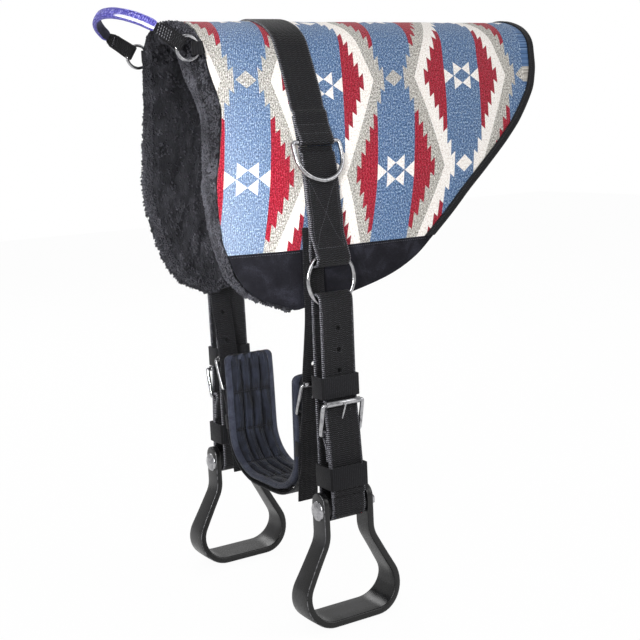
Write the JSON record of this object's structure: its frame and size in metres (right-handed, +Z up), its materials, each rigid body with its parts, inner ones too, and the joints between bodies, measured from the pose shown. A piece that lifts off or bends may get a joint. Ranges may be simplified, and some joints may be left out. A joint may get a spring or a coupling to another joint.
{
  "type": "bareback pad",
  "caption": "Woven-covered bareback riding pad with fleece lining, hand hold, buckled girth and hanging strap stirrups.",
  "frame": {"origin": "underside of the pad's ridge, in the middle plane above the stirrup straps", "axes": "+X towards the horse's tail, +Y to the horse's right, +Z up"},
  "size_m": [0.6411, 0.3458, 0.7909],
  "materials": {
    "black_fleece": "deep curly pile",
    "foam_core": "plain",
    "woven_blanket": "ribbed weave with a traditional geometric pattern",
    "suede_wear_panel": "napped suede",
    "black_webbing": "ribbed webbing",
    "navy_quilting": "quilted, satin weave",
    "blue_grip_sleeve": "plain weave",
    "nickel_plate": "polished nickel",
    "satin_black_stirrup": "satin black coating",
    "black_sleeve": "satin"
  },
  "bodies": {
    "pad": {"fleece_lining": "black_fleece", "foam_core": "foam_core", "woven_cover": "woven_blanket", "wear_panel_left": "suede_wear_panel", "wear_panel_right": "suede_wear_panel", "edge_binding": "black_webbing", "surcingle_strap": "black_webbing", "rigging_strap_left": "black_webbing", "rigging_strap_right": "black_webbing", "handle_tab_left": "black_webbing", "handle_tab_right": "black_webbing"},
    "handle": {"handle_web": "black_webbing", "handle_cover": "blue_grip_sleeve", "handle_ring_left": "nickel_plate", "handle_ring_right": "nickel_plate"},
    "girth": {"girth_pad": "navy_quilting", "girth_web": "black_webbing", "billet_left": "black_webbing", "girth_buckle_frame_left": "nickel_plate", "girth_buckle_prong_left": "nickel_plate", "girth_keeper_left": "black_webbing", "billet_right": "black_webbing", "girth_buckle_frame_right": "nickel_plate", "girth_buckle_prong_right": "nickel_plate", "girth_keeper_right": "black_webbing"},
    "upper_dring_left": {"upper_dring_left": "nickel_plate"},
    "rigging_ring_left": {"rigging_ring_left": "nickel_plate"},
    "stirrup_strap_left": {"stirrup_strap_left": "black_webbing", "strap_keeper_upper_left": "black_webbing", "strap_keeper_lower_left": "black_webbing", "strap_buckle_frame_left": "nickel_plate", "strap_buckle_prong_left": "nickel_plate", "stirrup_sleeve_left": "black_sleeve"},
    "strap_roller_left": {"strap_buckle_roller_left": "nickel_plate"},
    "stirrup_left": {"stirrup_left": "satin_black_stirrup", "stirrup_bolt_left": "nickel_plate", "stirrup_nut_left": "nickel_plate"},
    "girth_roller_left": {"girth_buckle_roller_left": "nickel_plate"},
    "upper_dring_right": {"upper_dring_right": "nickel_plate"},
    "rigging_ring_right": {"rigging_ring_right": "nickel_plate"},
    "stirrup_strap_right": {"stirrup_strap_right": "black_webbing", "strap_keeper_upper_right": "black_webbing", "strap_keeper_lower_right": "black_webbing", "strap_buckle_frame_right": "nickel_plate", "strap_buckle_prong_right": "nickel_plate", "stirrup_sleeve_right": "black_sleeve"},
    "strap_roller_right": {"strap_buckle_roller_right": "nickel_plate"},
    "stirrup_right": {"stirrup_right": "satin_black_stirrup", "stirrup_bolt_right": "nickel_plate", "stirrup_nut_right": "nickel_plate"},
    "girth_roller_right": {"girth_buckle_roller_right": "nickel_plate"}
  },
  "joints": [
    {"name": "upper_dring_turn_left", "type": "hinge", "parent": "pad", "child": "upper_dring_left", "pos_m": [0, -0.1223, -0.1319], "axis": [-1, 0, 0], "range_deg": [0, 140]},
    {"name": "rigging_ring_turn_left", "type": "hinge", "parent": "pad", "child": "rigging_ring_left", "pos_m": [0, -0.1435, -0.27376], "axis": [-1, 0, 0], "range_deg": [0, 20]},
    {"name": "stirrup_strap_swing_left", "type": "hinge", "parent": "rigging_ring_left", "child": "stirrup_strap_left", "pos_m": [0, -0.1435, -0.3029], "axis": [0, 1, 0], "range_deg": [-45, 45]},
    {"name": "stirrup_swing_left", "type": "hinge", "parent": "stirrup_strap_left", "child": "stirrup_left", "pos_m": [0, -0.1474, -0.5969], "axis": [1, 0, 0], "range_deg": [-50, 50]},
    {"name": "strap_roller_turn_left", "type": "hinge", "parent": "stirrup_strap_left", "child": "strap_roller_left", "pos_m": [0, -0.15835, -0.4589], "axis": [1, 0, 0], "continuous": true},
    {"name": "girth_roller_turn_left", "type": "hinge", "parent": "girth", "child": "girth_roller_left", "pos_m": [-0.017, -0.11875, -0.43805], "axis": [1, 0, 0], "continuous": true},
    {"name": "upper_dring_turn_right", "type": "hinge", "parent": "pad", "child": "upper_dring_right", "pos_m": [0, 0.1223, -0.1319], "axis": [1, 0, 0], "range_deg": [0, 140]},
    {"name": "rigging_ring_turn_right", "type": "hinge", "parent": "pad", "child": "rigging_ring_right", "pos_m": [0, 0.1435, -0.27376], "axis": [1, 0, 0], "range_deg": [0, 20]},
    {"name": "stirrup_strap_swing_right", "type": "hinge", "parent": "rigging_ring_right", "child": "stirrup_strap_right", "pos_m": [0, 0.1435, -0.3029], "axis": [0, 1, 0], "range_deg": [-45, 45]},
    {"name": "stirrup_swing_right", "type": "hinge", "parent": "stirrup_strap_right", "child": "stirrup_right", "pos_m": [0, 0.1474, -0.5969], "axis": [1, 0, 0], "range_deg": [-50, 50]},
    {"name": "strap_roller_turn_right", "type": "hinge", "parent": "stirrup_strap_right", "child": "strap_roller_right", "pos_m": [0, 0.15835, -0.4589], "axis": [1, 0, 0], "continuous": true},
    {"name": "girth_roller_turn_right", "type": "hinge", "parent": "girth", "child": "girth_roller_right", "pos_m": [-0.017, 0.11875, -0.43805], "axis": [1, 0, 0], "continuous": true},
    {"name": "handle_lift", "type": "hinge", "parent": "pad", "child": "handle", "pos_m": [-0.1446, 0, -0.0139], "axis": [0, 1, 0], "range_deg": [-30, 38]},
    {"name": "girth_swing", "type": "hinge", "parent": "pad", "child": "girth", "pos_m": [-0.017, 0, -0.2749], "axis": [0, 1, 0], "range_deg": [-7, 7]}
  ]
}
